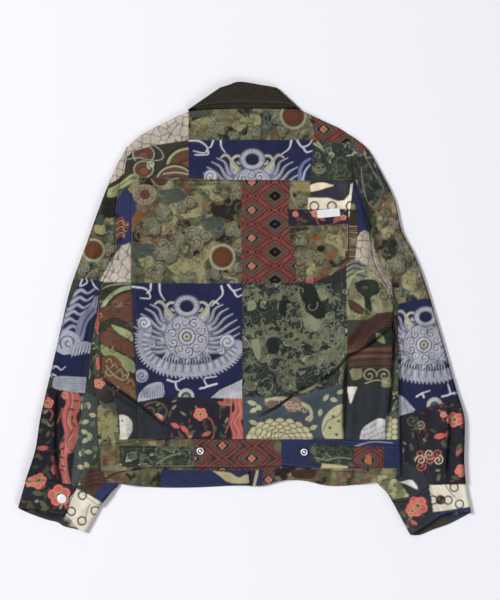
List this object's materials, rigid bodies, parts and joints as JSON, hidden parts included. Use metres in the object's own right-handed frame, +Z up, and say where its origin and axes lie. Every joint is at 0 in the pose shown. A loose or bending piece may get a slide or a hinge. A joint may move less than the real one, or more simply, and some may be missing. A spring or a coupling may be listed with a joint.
{
  "type": "patched work jacket",
  "caption": "Cotton patchwork work jacket laid flat face down, back up, with a collar, waistband, adjuster tabs and buttoned cuffs.",
  "frame": {"origin": "on the table, under the middle of the laid-out jacket's bounding box", "axes": "+Z up from the table and out of the jacket's back, +Y towards the collar, +X towards the wearer's right sleeve as it lies"},
  "size_m": [0.83, 0.8304, 0.0178],
  "materials": {
    "patchwork_cloth": "matt printed patchwork cotton canvas",
    "collar_cloth": "matt plain dark cotton",
    "label_cloth": "plain woven, slightly glossy",
    "button_metal": "aged metal, bright at the ring"
  },
  "bodies": {
    "root": {"back_panel": "patchwork_cloth", "side_back_left": "patchwork_cloth", "side_back_right": "patchwork_cloth", "yoke_back": "patchwork_cloth", "front_left": "patchwork_cloth", "front_right": "patchwork_cloth", "waistband_back": "patchwork_cloth", "waistband_front_left": "patchwork_cloth", "waistband_front_right": "patchwork_cloth", "sleeve_upper_left": "patchwork_cloth", "sleeve_under_left": "patchwork_cloth", "sleeve_upper_right": "patchwork_cloth", "sleeve_under_right": "patchwork_cloth", "cuff_left": "patchwork_cloth", "cuff_right": "patchwork_cloth", "adjuster_tab_left": "patchwork_cloth", "adjuster_tab_right": "patchwork_cloth", "collar_stand": "collar_cloth", "collar_fall": "collar_cloth", "label": "label_cloth", "cuff_button_left": "button_metal", "cuff_button_right": "button_metal", "tab_button_left": "button_metal", "tab_button_right": "button_metal", "spare_button_left": "button_metal", "spare_button_right": "button_metal", "front_button_1": "button_metal", "front_button_2": "button_metal", "front_button_3": "button_metal", "front_button_4": "button_metal", "front_button_5": "button_metal", "front_button_6": "button_metal"}
  },
  "joints": []
}
